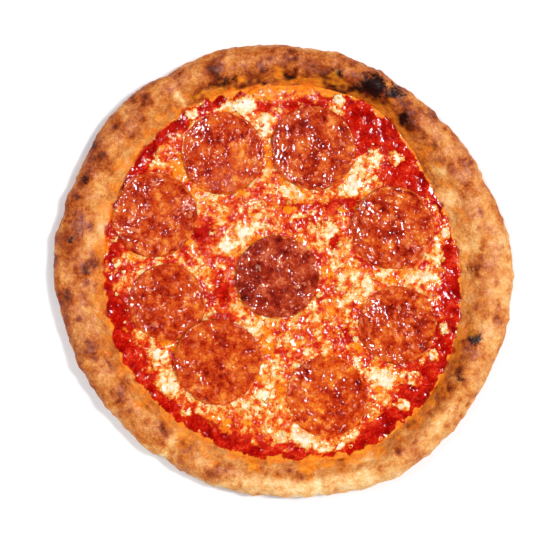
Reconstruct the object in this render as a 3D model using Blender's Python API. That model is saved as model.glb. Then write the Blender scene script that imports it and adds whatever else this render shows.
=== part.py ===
"""A pepperoni pizza, about 300 mm across, as separate solids that lie on one another.

The dough is one piece: a thin flat base that swells into a puffed rim. Tomato sauce fills the
dish inside the rim, melted cheese lies on the sauce as one torn sheet, soft mozzarella blobs
sit where the sauce shows, and nine slices of pepperoni lie on the cheese. +Z is up, the foot
is at Z = 0 and the origin is the middle of the foot. All sizes are in metres.
"""

import math

import bmesh
import bpy
from mathutils import Matrix, Vector, geometry, noise

MM = 0.001

# What touches keeps this gap.
GAP = 0.3 * MM

# Points nearer than this are one point.
WELD = 0.01 * MM

# The rim, read at twelve even places round the pizza, anticlockwise from +X.
OUTER_RADIUS = [149, 144, 144, 148, 151, 150, 150, 145, 147, 147, 153, 150]
INNER_RADIUS = [115, 111, 121, 121, 123, 118, 117, 119, 120, 123, 127, 122]
RIM_HEIGHT = [17, 16, 19, 18, 18, 17, 17, 18, 17, 17, 18, 18]

# The rim's cross-section before it is fitted to those radii.
PLAIN_OUTER = 150 * MM
PLAIN_INNER = 120 * MM
PLAIN_HEIGHT = 17 * MM
CREST_RADIUS = 136 * MM
SHOULDER_HEIGHT = 7 * MM
FOOT_ROLL = -70
SECTION_STEPS = 15
ROUND_STEPS = 120
# The bed's flat middle ends at this share of the inner radius.
BED_RING = 0.6
# The inner wall falls as its distance from the crest to this power: 1 is a straight slope.
WALL_CURVE = 1.6

# Broad waves of the rim's skin: how high they stand and how far apart they are.
WAVE_HEIGHT = 1.5 * MM
WAVE_LENGTH = 17 * MM

# The layers, from the stone upward.
BASE_THICKNESS = 4.0 * MM
SAUCE_THICKNESS = 1.2 * MM
CHEESE_THICKNESS = 1.5 * MM
SAUCE_FLOOR = BASE_THICKNESS + GAP
SAUCE_LEVEL = SAUCE_FLOOR + SAUCE_THICKNESS
CHEESE_FLOOR = SAUCE_LEVEL + GAP
CHEESE_LEVEL = CHEESE_FLOOR + CHEESE_THICKNESS
SLICE_LEVEL = CHEESE_LEVEL + GAP

# Puffed blisters: degrees round the rim, distance from the middle, width and height in mm.
BLISTERS = [
    (52, 131, 9, 1.6),
    (64, 137, 13, 2.6),
    (73, 134, 8, 1.8),
    (87, 130, 10, 1.3),
    (108, 135, 14, 2.0),
    (155, 141, 9, 1.5),
    (171, 139, 8, 1.2),
    (202, 135, 9, 1.4),
    (224, 133, 11, 1.6),
    (262, 137, 14, 1.5),
    (300, 139, 16, 1.8),
    (328, 137, 10, 1.6),
    (341, 133, 9, 1.8),
    (2, 129, 10, 1.2),
]

# Creases where the dough was folded and pinched: degrees round the rim and depth in mm.
CREASES = [(24, 1.6), (120, 2.0), (159, 1.3), (237, 2.4), (294, 1.2)]
CREASE_HALF_WIDTH = math.radians(2.2)

# Pepperoni slices: x, y and radius in mm, then how far the slice leans, in mm per metre
# towards +X and +Y, and how far its middle is lifted in mm.
SLICES = [
    (-39.7, 77.0, 27.1, 10, -12, 0.0),
    (19.3, 80.4, 27.3, -14, 6, 0.1),
    (-84.6, 36.9, 27.6, -16, 4, 0.1),
    (70.9, 28.4, 27.4, 12, 10, 0.0),
    (-4.2, -3.6, 27.4, -6, 14, 0.3),
    (-76.1, -19.9, 25.2, -10, -8, -0.1),
    (74.2, -35.0, 25.4, 16, -8, 0.0),
    (-43.1, -59.0, 28.2, -34, 38, 0.9),
    (28.4, -81.4, 26.6, 8, -18, 0.0),
]
SLICE_THICKNESS = 1.6 * MM
SLICE_STEPS = 28
# How far the edge curls up, how deep the dimples are and how far out of round a slice is.
SLICE_CUP = 1.5 * MM
SLICE_DIMPLE = 0.25 * MM
SLICE_WOBBLE = 0.035
# The clear strip between a slice and the rim's inner wall.
SLICE_MARGIN = 0.6 * MM

# Where the cheese sheet ends, in mm from the middle, at 24 even places from +X.
CHEESE_REACH = [
    106, 112, 98, 99, 98, 111, 117, 114, 112, 110, 108, 113,
    112, 102, 109, 110, 105, 110, 113, 119, 110, 105, 106, 105,
]
CHEESE_STEPS = 144
# The lumps in the sheet, and how thin it is at a torn edge, as a share of its thickness.
LUMP_HEIGHT = 0.9 * MM
LUMP_LENGTH = 8 * MM
EDGE_SHARE = 0.35
EDGE_WIDTH = 6 * MM
# The cheese is pressed flat this far round a slice.
PRESS_WIDTH = 7 * MM

# Places inside the sheet where it has torn and the sauce shows: x, y and half widths in mm.
CHEESE_TEARS = [
    (-40, -13, 6, 8),
    (-48, 25, 7, 5),
    (11, 43, 9, 5),
    (33, 19, 6, 7),
    (45, 43, 6, 5),
    (39, -47, 8, 6),
    (-14, 108, 7, 4),
]

TEAR_STEPS = 14

# Mozzarella blobs in the open sauce: x, y, half widths in mm, turn in degrees, height in mm.
BLOBS = [
    (35.6, 111.0, 3.8, 5.8, 20, 2.6),
    (-82.0, -55.5, 7.5, 7.5, 30, 3.0),
    (-77.5, -74.0, 5.5, 5.8, 20, 2.6),
    (105.0, 26.0, 3.6, 5.5, 15, 2.2),
    (86.0, -70.5, 4.5, 6.0, -30, 2.4),
    (77.5, -87.0, 5.8, 4.0, 15, 2.4),
    (73.5, 74.0, 6.0, 4.0, 35, 2.2),
    (-106.5, 5.5, 5.2, 4.4, 5, 2.0),
    (-64.0, -91.0, 4.5, 3.5, -30, 2.2),
    (35.0, -113.6, 6.0, 3.0, 15, 2.2),
    (-59.0, 103.0, 5.2, 3.2, 30, 2.2),
    (104.5, -36.5, 3.4, 4.4, 5, 2.2),
    (98.0, -55.0, 3.4, 4.8, -30, 2.2),
]
BLOB_STEPS = 18

# The clear strips beside the rim's inner wall, and between the sheet and a blob.
SAUCE_MARGIN = 0.5 * MM
CHEESE_MARGIN = 1.2 * MM
BLOB_MARGIN = 0.8 * MM

# How far apart the points of each layer's top are.
SAUCE_SPACING = 8 * MM
CHEESE_SPACING = 6 * MM
BLOB_SPACING = 2.6 * MM


def clear_scene():
    for obj in list(bpy.data.objects):
        bpy.data.objects.remove(obj, do_unlink=True)


def by_clock(values, angle):
    """A smooth closed curve through values that stand at even places round the circle."""
    count = len(values)
    place = (angle / math.tau % 1.0) * count
    low = int(place)
    t = place - low
    before, here, after, beyond = (values[(low + k - 1) % count] for k in range(4))
    slope = after - before
    bend = 2 * before - 5 * here + 4 * after - beyond
    twist = 3 * (here - after) + beyond - before
    return here + 0.5 * t * (slope + t * (bend + t * twist))


def ring_noise(angle, lobes, seed):
    """Smooth noise round the circle, from -1 to 1, with about that many lobes."""
    reach = lobes / math.tau
    return noise.noise(Vector((reach * math.cos(angle), reach * math.sin(angle), seed)))


def ease(low, high, value):
    """0 below low, 1 above high, and smooth between them."""
    t = min(1.0, max(0.0, (value - low) / (high - low)))
    return t * t * (3 - 2 * t)


def outer_radius(angle):
    return by_clock(OUTER_RADIUS, angle) * MM + 1.2 * MM * ring_noise(angle, 22, 1.5)


def inner_radius(angle):
    return by_clock(INNER_RADIUS, angle) * MM + 1.8 * MM * ring_noise(angle, 26, 7.5)


def rim_height(angle):
    return by_clock(RIM_HEIGHT, angle) * MM + 1.6 * MM * ring_noise(angle, 16, 3.5)


def finish_mesh(bm, name, material):
    """Turns a bmesh into a smooth-shaded object with outward faces."""
    bmesh.ops.recalc_face_normals(bm, faces=bm.faces)
    mesh = bpy.data.meshes.new(name)
    bm.to_mesh(mesh)
    bm.free()
    mesh.shade_smooth()
    mesh.set_sharp_from_angle(angle=math.radians(50))
    mesh.materials.append(material)
    obj = bpy.data.objects.new(name, mesh)
    PIZZA.objects.link(obj)
    return obj


def plain_material(name, colour, roughness):
    material = bpy.data.materials.new(name)
    material.use_nodes = True
    shader = material.node_tree.nodes["Principled BSDF"]
    shader.inputs["Base Color"].default_value = (*colour, 1.0)
    shader.inputs["Roughness"].default_value = roughness
    shader.inputs["Metallic"].default_value = 0.0
    return material


def turn_profile(bm, profile, steps):
    """Spins a line of (radius, height) pairs, which starts and ends on Z, into a closed skin."""
    corners = [bm.verts.new((radius, 0.0, height)) for radius, height in profile]
    edges = [bm.edges.new(pair) for pair in zip(corners, corners[1:])]
    bmesh.ops.spin(
        bm, geom=corners + edges, cent=(0, 0, 0), axis=(0, 0, 1),
        angle=math.tau, steps=steps, use_merge=True,
    )
    bmesh.ops.remove_doubles(bm, verts=bm.verts, dist=WELD)
    bmesh.ops.recalc_face_normals(bm, faces=bm.faces)


# The dough

def rim_section():
    """The rim's skin as (radius, height) pairs, from the foot over the crest to the bed."""
    points = []
    for step in range(SECTION_STEPS + 1):
        roll = math.radians(FOOT_ROLL + step * (180 - FOOT_ROLL) / SECTION_STEPS)
        reach = abs(math.cos(roll))
        rise = math.sin(roll)
        if roll < 0:
            radius = CREST_RADIUS + (PLAIN_OUTER - CREST_RADIUS) * math.sqrt(reach)
            height = SHOULDER_HEIGHT * (1 - rise / math.sin(math.radians(FOOT_ROLL)))
        elif roll < math.pi / 2:
            radius = CREST_RADIUS + (PLAIN_OUTER - CREST_RADIUS) * reach
            height = SHOULDER_HEIGHT + (PLAIN_HEIGHT - SHOULDER_HEIGHT) * rise
        else:
            radius = CREST_RADIUS - (CREST_RADIUS - PLAIN_INNER) * reach
            height = PLAIN_HEIGHT - (PLAIN_HEIGHT - BASE_THICKNESS) * reach**WALL_CURVE
        points.append((radius, height))
    return points


def fit_to_outline(point):
    """Moves a point of the plain turned dough to where the real, uneven rim has it."""
    angle = math.atan2(point.y, point.x)
    radius = math.hypot(point.x, point.y)
    inner = inner_radius(angle)
    if radius > PLAIN_INNER:
        across = (radius - PLAIN_INNER) / (PLAIN_OUTER - PLAIN_INNER)
        radius = inner + across * (outer_radius(angle) - inner)
    else:
        radius *= inner / PLAIN_INNER
    height = point.z
    if height > BASE_THICKNESS:
        lift = (height - BASE_THICKNESS) / (PLAIN_HEIGHT - BASE_THICKNESS)
        height = BASE_THICKNESS + lift * (rim_height(angle) - BASE_THICKNESS)
    return Vector((radius * math.cos(angle), radius * math.sin(angle), height))


def swell(point):
    """How far the rim's skin stands out of its smooth form at a point: bumps less creases."""
    angle = math.atan2(point.y, point.x)
    radius = math.hypot(point.x, point.y)
    height = WAVE_HEIGHT * noise.noise(point / WAVE_LENGTH)
    for degrees, distance, width, tall in BLISTERS:
        turn = math.remainder(angle - math.radians(degrees), math.tau)
        away = math.hypot(turn * radius, radius - distance * MM) / (0.6 * width * MM)
        height += tall * MM * math.exp(-away * away)
    for degrees, depth in CREASES:
        turn = math.remainder(angle - math.radians(degrees), math.tau) / CREASE_HALF_WIDTH
        height -= depth * MM * math.exp(-turn * turn)
    return height


def swell_share(point):
    """The foot stays flat and the edge of the bed stays where the sauce needs it."""
    past_bed = point.xy.length - inner_radius(math.atan2(point.y, point.x))
    return ease(0.5 * MM, 5 * MM, point.z) * ease(2 * MM, 9 * MM, past_bed)


def make_crust(material):
    """The dough: a profile turned about Z, then fitted to the outline and swollen."""
    bm = bmesh.new()
    ring = BED_RING * PLAIN_INNER
    profile = [(0.0, 0.0), (ring, 0.0), *rim_section()]
    profile += [(ring, BASE_THICKNESS), (0.0, BASE_THICKNESS)]
    turn_profile(bm, profile, ROUND_STEPS)
    for vert in bm.verts:
        vert.co = fit_to_outline(vert.co)
    bm.normal_update()
    moves = [vert.normal * swell(vert.co) * swell_share(vert.co) for vert in bm.verts]
    for vert, move in zip(bm.verts, moves):
        vert.co += move
    return finish_mesh(bm, "crust", material)


# Slabs cut to an outline, for the sauce, the cheese and the blobs

def inside(point, loop):
    """Whether a point is inside a closed loop of points."""
    found = False
    for a, b in zip(loop, loop[1:] + loop[:1]):
        if (a.y > point.y) != (b.y > point.y):
            if point.x < a.x + (point.y - a.y) / (b.y - a.y) * (b.x - a.x):
                found = not found
    return found


def lattice(outline, holes, spacing):
    """Points in even triangles inside the outline and outside the holes, clear of both."""
    reach = max(point.length for point in outline)
    edge = [point for loop in [outline, *holes] for point in loop]
    row_height = spacing * math.sqrt(3) / 2
    rows = int(reach / row_height) + 1
    found = []
    for row in range(-rows, rows + 1):
        for column in range(-rows, rows + 1):
            point = Vector((spacing * (column + 0.5 * (row % 2)), row_height * row))
            if not inside(point, outline) or any(inside(point, hole) for hole in holes):
                continue
            if min((point - other).length for other in edge) > 0.55 * spacing:
                found.append(point)
    return found


def make_slab(name, material, outline, holes, spacing, floor, top):
    """A closed slab: flat underneath, with its top at the height that top(point) gives."""
    points, loops = [], []
    for loop in [outline, *holes]:
        loops.append(range(len(points), len(points) + len(loop)))
        points += loop
    points += lattice(outline, holes, spacing)
    edges = [(loop[k - 1], loop[k]) for loop in loops for k in range(len(loop))]
    flat = geometry.delaunay_2d_cdt(points, edges, [], 1, 1e-7)
    bm = bmesh.new()
    corners = [bm.verts.new((point.x, point.y, floor)) for point in flat[0]]
    for triangle in flat[2]:
        middle = sum((flat[0][k] for k in triangle), Vector((0, 0))) / 3
        if inside(middle, outline) and not any(inside(middle, hole) for hole in holes):
            bm.faces.new([corners[k] for k in triangle])
    raised = bmesh.ops.extrude_face_region(bm, geom=bm.faces[:], use_keep_orig=True)
    above = [item for item in raised["geom"] if isinstance(item, bmesh.types.BMVert)]
    for vert in above:
        vert.co.z = top(vert.co.xy)
    raised_ones = set(above)
    below = [vert for vert in bm.verts if vert not in raised_ones]
    under = [edge for edge in bm.edges if not raised_ones.intersection(edge.verts)]
    bmesh.ops.dissolve_limit(bm, angle_limit=0.01, verts=below, edges=under)
    return finish_mesh(bm, name, material)


def wavy_loop(x, y, half_x, half_y, turn, count, seed):
    """A loose ellipse of that many points."""
    loop = []
    for step in range(count):
        angle = math.tau * step / count
        wobble = 1 + 0.22 * ring_noise(angle, 7, seed)
        point = Vector((half_x * math.cos(angle), half_y * math.sin(angle))) * wobble
        point.rotate(Matrix.Rotation(turn, 2))
        loop.append(Vector((x, y)) + point)
    return loop


# The sauce

def exposed(point):
    """How openly the sauce shows at a point: 0 under cheese or a slice, 1 in the open."""
    angle = math.atan2(point.y, point.x)
    share = ease(0, 5 * MM, point.length - cheese_reach(angle))
    for x, y, half_x, half_y in CHEESE_TEARS:
        away = math.hypot((point.x / MM - x) / half_x, (point.y / MM - y) / half_y)
        share = max(share, ease(0.8, 0.5, away))
    for x, y, half_x, half_y, *_ in BLOBS:
        away = math.hypot(point.x / MM - x, point.y / MM - y)
        share *= ease(max(half_x, half_y) + 1, max(half_x, half_y) + 6, away)
    return share


def sauce_top(point):
    pulp = noise.noise(Vector((point.x, point.y, 0.02)) / (9 * MM))
    return SAUCE_LEVEL + exposed(point) * (0.3 + 0.7 * pulp) * MM


def make_sauce(material):
    outline = []
    for step in range(ROUND_STEPS):
        angle = math.tau * step / ROUND_STEPS
        radius = inner_radius(angle) - SAUCE_MARGIN
        outline.append(Vector((radius * math.cos(angle), radius * math.sin(angle))))
    return make_slab(
        "tomato_sauce", material, outline, [], SAUCE_SPACING, SAUCE_FLOOR, sauce_top
    )


# The melted cheese

def crossing(way, x, y, spread):
    """Where a ray from the middle enters and leaves a disc, as two distances, or None."""
    middle = Vector((x, y)) * MM
    along = middle.dot(way)
    aside = (middle - way * along).length
    if along <= 0 or aside >= spread:
        return None
    half = math.sqrt(spread * spread - aside * aside)
    return along - half, along + half


def cheese_reach(angle):
    """How far the sheet runs from the middle: past each slice's edge, but short of a blob."""
    way = Vector((math.cos(angle), math.sin(angle)))
    reach = by_clock(CHEESE_REACH, angle) * MM + 2.5 * MM * ring_noise(angle, 40, 11.5)
    for x, y, radius, *_ in SLICES:
        crossed = crossing(way, x, y, (radius - 1.0) * MM)
        if crossed:
            reach = max(reach, crossed[1])
    for x, y, half_x, half_y, *_ in BLOBS:
        crossed = crossing(way, x, y, 1.15 * max(half_x, half_y) * MM + BLOB_MARGIN)
        if crossed:
            reach = min(reach, crossed[0])
    return min(reach, inner_radius(angle) - CHEESE_MARGIN)


def slice_plane(index, point):
    """The height of a slice's flat underside over a point."""
    x, y, _, lean_x, lean_y, lift = SLICES[index]
    away = point - Vector((x, y)) * MM
    return SLICE_LEVEL + lift * MM + (lean_x * away.x + lean_y * away.y) * MM


def cheese_top(point):
    """Lumps in the open, pressed flat under each slice, and thin at every torn edge."""
    angle = math.atan2(point.y, point.x)
    lumps = noise.noise(Vector((point.x, point.y, 0.05)) / LUMP_LENGTH)
    height = CHEESE_LEVEL + LUMP_HEIGHT * (0.3 + lumps)
    edge = cheese_reach(angle) - point.length
    for x, y, half_x, half_y in CHEESE_TEARS:
        away = math.hypot((point.x / MM - x) / half_x, (point.y / MM - y) / half_y)
        edge = min(edge, (away - 1) * min(half_x, half_y) * MM)
    share = EDGE_SHARE + (1 - EDGE_SHARE) * ease(0, EDGE_WIDTH, edge)
    height = CHEESE_FLOOR + (height - CHEESE_FLOOR) * share
    for index, (x, y, radius, *_) in enumerate(SLICES):
        away = (point - Vector((x, y)) * MM).length
        pressed = ease(radius * MM + PRESS_WIDTH, (radius + 1) * MM, away)
        under = slice_plane(index, point) - GAP
        height = min(height, height + pressed * (under - height))
    return height


def make_cheese(material):
    outline = []
    for step in range(CHEESE_STEPS):
        angle = math.tau * step / CHEESE_STEPS
        radius = cheese_reach(angle)
        outline.append(Vector((radius * math.cos(angle), radius * math.sin(angle))))
    holes = [
        wavy_loop(x * MM, y * MM, half_x * MM, half_y * MM, 0.0, TEAR_STEPS, 20.5 + x)
        for x, y, half_x, half_y in CHEESE_TEARS
    ]
    return make_slab(
        "melted_cheese", material, outline, holes, CHEESE_SPACING, CHEESE_FLOOR, cheese_top
    )


def make_blob(number, material, x, y, half_x, half_y, turn, tall):
    """A soft blob with a flat foot on the sauce."""
    centre = Vector((x, y)) * MM
    seed = 40.5 + number
    outline = wavy_loop(
        x * MM, y * MM, half_x * MM, half_y * MM, math.radians(turn), BLOB_STEPS, seed
    )

    def dome(point):
        away = (point - centre).length / (max(half_x, half_y) * MM)
        edge = min((point - other).length for other in outline)
        share = (0.25 + 0.75 * ease(0, 3 * MM, edge)) * (1.1 - 0.3 * away)
        return CHEESE_FLOOR + tall * MM * share

    name = f"mozzarella_blob_{number:02d}"
    return make_slab(name, material, outline, [], BLOB_SPACING, CHEESE_FLOOR, dome)


# The pepperoni

def make_slice(index, material):
    """A thin round slice, curled up a little at its edge and kept clear of the rim."""
    x, y, radius, lean_x, lean_y, lift = SLICES[index]
    middle = Vector((x, y)) * MM
    reach = radius * MM
    bm = bmesh.new()
    profile = [
        (0.0, 0.0), (0.97 * reach, 0.0), (reach, 0.3 * SLICE_THICKNESS),
        (reach, 0.75 * SLICE_THICKNESS), (0.95 * reach, SLICE_THICKNESS),
        (0.74 * reach, SLICE_THICKNESS), (0.4 * reach, SLICE_THICKNESS), (0.0, SLICE_THICKNESS),
    ]
    turn_profile(bm, profile, SLICE_STEPS)
    seed = 60.5 + 3 * index
    for vert in bm.verts:
        angle = math.atan2(vert.co.y, vert.co.x)
        share = vert.co.xy.length / reach
        wobble = 1 + SLICE_WOBBLE * ring_noise(angle, 9, seed)
        curl = SLICE_CUP * share**6 * (0.45 + 0.9 * abs(ring_noise(angle, 6, seed + 1)))
        place = middle + vert.co.xy * wobble
        limit = inner_radius(math.atan2(place.y, place.x)) - SLICE_MARGIN
        if place.length > limit:
            place *= limit / place.length
        height = vert.co.z + curl + slice_plane(index, place)
        if vert.co.z > 0.9 * SLICE_THICKNESS:
            height += SLICE_DIMPLE * noise.noise(Vector((*place, seed)) / (11 * MM))
        vert.co = Vector((*place, height))
    return finish_mesh(bm, f"pepperoni_{index + 1}", material)


def main():
    dough = plain_material("baked_dough", (0.62, 0.33, 0.13), 0.75)
    tomato = plain_material("tomato_sauce", (0.60, 0.03, 0.01), 0.35)
    melted = plain_material("melted_cheese", (0.88, 0.52, 0.16), 0.4)
    fresh = plain_material("mozzarella", (0.93, 0.80, 0.58), 0.4)
    meat = plain_material("pepperoni", (0.45, 0.07, 0.02), 0.35)
    make_crust(dough)
    make_sauce(tomato)
    make_cheese(melted)
    for number, blob in enumerate(BLOBS, start=1):
        make_blob(number, fresh, *blob)
    for index in range(len(SLICES)):
        make_slice(index, meat)


clear_scene()
PIZZA = bpy.data.collections.new("pepperoni_pizza")
bpy.context.scene.collection.children.link(PIZZA)
main()
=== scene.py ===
# %% [markdown]
# # A pepperoni pizza, from the dough to the light
#
# A plain model of the pizza comes first. It has the true sizes, 300 mm across, and one piece for
# each thing that you could pick off with your fingers. This lesson replaces each plain piece with
# a finer mesh of the same form, and gives it the finish of baked food. Everything is in metres,
# with +Z up and the middle of the pizza at the origin.

import math

import bmesh
import bpy
import numpy as np
from mathutils import Matrix, Vector, noise


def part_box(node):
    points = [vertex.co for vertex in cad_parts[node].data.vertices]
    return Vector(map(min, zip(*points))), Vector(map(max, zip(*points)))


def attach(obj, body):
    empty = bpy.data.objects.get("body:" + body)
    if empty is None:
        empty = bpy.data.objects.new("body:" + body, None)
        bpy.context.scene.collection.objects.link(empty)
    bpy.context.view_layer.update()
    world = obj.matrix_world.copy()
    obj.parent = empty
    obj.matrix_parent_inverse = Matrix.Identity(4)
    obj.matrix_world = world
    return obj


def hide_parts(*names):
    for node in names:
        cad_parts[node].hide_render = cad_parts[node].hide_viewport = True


MM = 0.001
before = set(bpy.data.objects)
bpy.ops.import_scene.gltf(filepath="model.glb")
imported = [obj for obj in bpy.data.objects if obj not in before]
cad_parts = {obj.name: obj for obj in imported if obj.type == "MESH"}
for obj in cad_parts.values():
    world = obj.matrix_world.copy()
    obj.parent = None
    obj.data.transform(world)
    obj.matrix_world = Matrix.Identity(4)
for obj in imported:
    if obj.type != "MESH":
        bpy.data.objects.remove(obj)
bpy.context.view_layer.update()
print("plain pieces:", len(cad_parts))

# %% [markdown]
# ## Sizes that go round the pizza
#
# No two places on a hand-stretched rim are alike. Typing hundreds of points would hide the idea,
# so a dozen readings stand at even places round the circle, and a smooth closed curve runs
# through them. Smooth noise then adds the small unevenness that hands leave. Numpy works out all
# the points of a mesh at once, which keeps the script quick.

# %% Curves and noise
OUTER_RADIUS = [149, 144, 144, 148, 151, 150, 150, 145, 147, 147, 153, 150]
INNER_RADIUS = [115, 111, 121, 121, 123, 118, 117, 119, 120, 123, 127, 122]
RIM_HEIGHT = [17, 16, 19, 18, 18, 17, 17, 18, 17, 17, 18, 18]


def by_clock(values, angle):
    """A smooth closed curve through values that stand at even places round the circle."""
    values = np.asarray(values, float)
    place = (angle / math.tau % 1.0) * len(values)
    low = np.floor(place).astype(int)
    t = place - low
    before, here, after, beyond = (values[(low + k - 1) % len(values)] for k in range(4))
    bend = 2 * before - 5 * here + 4 * after - beyond
    twist = 3 * (here - after) + beyond - before
    return here + 0.5 * t * (after - before + t * (bend + t * twist))


def ripple(points, length, seed=0.0):
    """Smooth noise, about -0.7 to 0.7, with waves that long in mm."""
    return np.array([noise.noise(point) for point in (points / length + seed).tolist()])


def waves(points, *layers):
    """A sum of smooth noises. Each layer is a height, a length in mm and a seed."""
    return sum(height * ripple(points, length, seed) for height, length, seed in layers)


def ring_noise(angle, lobes, seed):
    """Smooth noise round the circle with about that many lobes."""
    reach = lobes / math.tau
    circle = np.stack([reach * np.cos(angle), reach * np.sin(angle), 0 * angle + seed], axis=1)
    return ripple(circle, 1.0)


def ease(low, high, value):
    """0 at low, 1 at high, and smooth between them."""
    t = np.clip((value - low) / (high - low), 0, 1)
    return t * t * (3 - 2 * t)


def outer_radius(angle):
    return by_clock(OUTER_RADIUS, angle) + 1.2 * ring_noise(angle, 22, 1.5)


def inner_radius(angle):
    return by_clock(INNER_RADIUS, angle) + 1.8 * ring_noise(angle, 26, 7.5)


def rim_height(angle):
    return by_clock(RIM_HEIGHT, angle) + 1.6 * ring_noise(angle, 16, 3.5)


around = np.linspace(0, math.tau, 360, endpoint=False)
print("rim width in mm:", np.round((outer_radius(around) - inner_radius(around)).mean(), 1))

# %% [markdown]
# ## Meshes in millimetres
#
# Shapes are built in a bmesh, Blender's mesh for editing, and one helper turns it into a mesh
# that an object can hold. Blender keeps the points in metres. Food is easier to think about in
# millimetres, so two helpers read and write a mesh's points that way, and one more reads which
# way the skin faces at each point. Another stores one number on each point, such as how brown
# the crust is there. A material can read such a number by its name, so the shape and the colour
# follow the same plan.

# %% Points and painted numbers
def finish_mesh(bm, name):
    """Turns a bmesh into a mesh and frees it."""
    mesh = bpy.data.meshes.new(name)
    bm.to_mesh(mesh)
    bm.free()
    return mesh


def read_points(mesh):
    flat = np.zeros(3 * len(mesh.vertices))
    mesh.vertices.foreach_get("co", flat)
    return flat.reshape(-1, 3) / MM


def write_points(mesh, points):
    assert np.isfinite(points).all(), "a sum went wrong at some point of " + mesh.name
    mesh.vertices.foreach_set("co", (points * MM).astype(np.float32).ravel())
    mesh.update()


def read_normals(mesh):
    flat = np.zeros(3 * len(mesh.vertices))
    mesh.vertex_normals.foreach_get("vector", flat)
    return flat.reshape(-1, 3)


def store(mesh, name, values):
    layer = mesh.attributes.new(name, "FLOAT", "POINT")
    layer.data.foreach_set("value", np.asarray(values, np.float32))


def polar(points):
    """The angle and the distance from the middle of each point."""
    return np.arctan2(points[:, 1], points[:, 0]), np.hypot(points[:, 0], points[:, 1])


print("one metre in mm:", round(1 / MM))

# %% [markdown]
# ## Turned skins
#
# Round things are turned, as on a lathe: a profile is spun about Z into a closed skin. Spin gets
# slow with many steps, so it makes a few wide ones, and the edges that run round the axis are
# then cut into more. The last helper puts a finished mesh in the scene, in place of the plain
# pieces whose names it is given.

# %% Turn a profile and place a piece
SAME_PLACE = 0.001 * MM


def level_ring(edge):
    """Whether an edge runs round the axis, and not along the profile."""
    first, second = (vert.co for vert in edge.verts)
    level = abs(first.z - second.z) < SAME_PLACE
    return level and abs(first.xy.length - second.xy.length) < SAME_PLACE


def turn_profile(name, profile, steps, cuts):
    """Spins a line of (radius, height) pairs in mm, from axis to axis, into a closed skin."""
    bm = bmesh.new()
    corners = [bm.verts.new((radius * MM, 0, height * MM)) for radius, height in profile]
    edges = [bm.edges.new(pair) for pair in zip(corners, corners[1:])]
    bmesh.ops.spin(
        bm, geom=corners + edges, cent=(0, 0, 0), axis=(0, 0, 1),
        angle=math.tau, steps=steps, use_merge=True,
    )
    bmesh.ops.remove_doubles(bm, verts=bm.verts, dist=2 * SAME_PLACE)
    rings = [edge for edge in bm.edges if level_ring(edge)]
    bmesh.ops.subdivide_edges(bm, edges=rings, cuts=cuts, use_grid_fill=True)
    bmesh.ops.triangulate(bm, faces=[face for face in bm.faces if len(face.verts) > 4])
    bmesh.ops.recalc_face_normals(bm, faces=bm.faces)
    return finish_mesh(bm, name)


def place_piece(mesh, material, slot, *nodes):
    """Makes an object of a mesh. The slot is not used."""
    mesh.shade_smooth()
    mesh.materials.append(material)
    piece = bpy.data.objects.new(mesh.name, mesh)
    bpy.context.scene.collection.objects.link(piece)
    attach(piece, "root")
    if nodes:
        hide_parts(*nodes)
    print(piece.name, "faces:", len(mesh.polygons))


# %% [markdown]
# ## Building blocks for the finishes
#
# Every finish here is a network of shader nodes. Wiring each node by hand would fill pages, so a
# few short helpers add a node, feed its sockets and hand back its output. Colours are written as
# they look on a screen, from 0 to 255, and turned into the linear values that Blender wants.

# %% Short ways to add shader nodes
def seen(red, green, blue):
    """A colour as the eye reads it off a screen, as linear RGBA."""
    parts = [part / 255 for part in (red, green, blue)]
    linear = [p / 12.92 if p <= 0.04045 else ((p + 0.055) / 1.055) ** 2.4 for p in parts]
    return (*linear, 1.0)


def feed(tree, socket, value):
    """Gives a socket a fixed value or the output of another node."""
    if isinstance(value, bpy.types.NodeSocket):
        tree.links.new(value, socket)
    else:
        socket.default_value = value


def add(tree, kind, sockets=(), **options):
    node = tree.nodes.new("ShaderNode" + kind)
    for name, value in options.items():
        setattr(node, name, value)
    for name, value in dict(sockets).items():
        feed(tree, node.inputs[name], value)
    return node


def maths(tree, operation, *values):
    return add(tree, "Math", enumerate(values), operation=operation).outputs[0]


def span(tree, value, low, high):
    """0 where the value is below low, 1 above high, and smooth between them."""
    sockets = {"Value": value, "From Min": low, "From Max": high}
    node = add(tree, "MapRange", sockets, interpolation_type="SMOOTHSTEP")
    return node.outputs["Result"]


def blend(tree, factor, first, second):
    node = add(tree, "Mix", {0: factor, 6: first, 7: second}, data_type="RGBA")
    return node.outputs[2]


def painted(tree, name):
    """The number that a mesh stores on its points under this name."""
    return add(tree, "Attribute", attribute_name=name).outputs["Fac"]


def colour_scale(tree, value, stops):
    """Colours along a value from 0 to 1. A stop is a place and a colour as seen."""
    node = add(tree, "ValToRGB", {"Fac": value})
    elements = node.color_ramp.elements
    while len(elements) < len(stops):
        elements.new(0.5)
    for element, (place, colour) in zip(elements, stops):
        element.position = place
        element.color = seen(*colour)
    return node.outputs["Color"]


print("mid grey on a screen, as a linear value:", round(seen(128, 128, 128)[0], 3))

# %% [markdown]
# Three effects come back in several finishes, so each is a node group with named sockets, built
# once and used with its own values. "mottle" is a patchy value round zero. "moist_relief" is the
# height of fine wet lumps. "oil_film" is what melted fat does to a surface: it turns the colour
# orange and makes it shine.

# %% Shared node groups
FLOAT, VECTOR, COLOUR = "NodeSocketFloat", "NodeSocketVector", "NodeSocketColor"


def new_group(name, inputs, outputs):
    """An empty group, the sockets that it is given and the sockets that it gives back."""
    group = bpy.data.node_groups.new(name, "ShaderNodeTree")
    for label, kind in inputs:
        group.interface.new_socket(label, in_out="INPUT", socket_type=kind)
    for label, kind in outputs:
        group.interface.new_socket(label, in_out="OUTPUT", socket_type=kind)
    given = group.nodes.new("NodeGroupInput").outputs
    result = group.nodes.new("NodeGroupOutput").inputs
    return group, given, result


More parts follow.
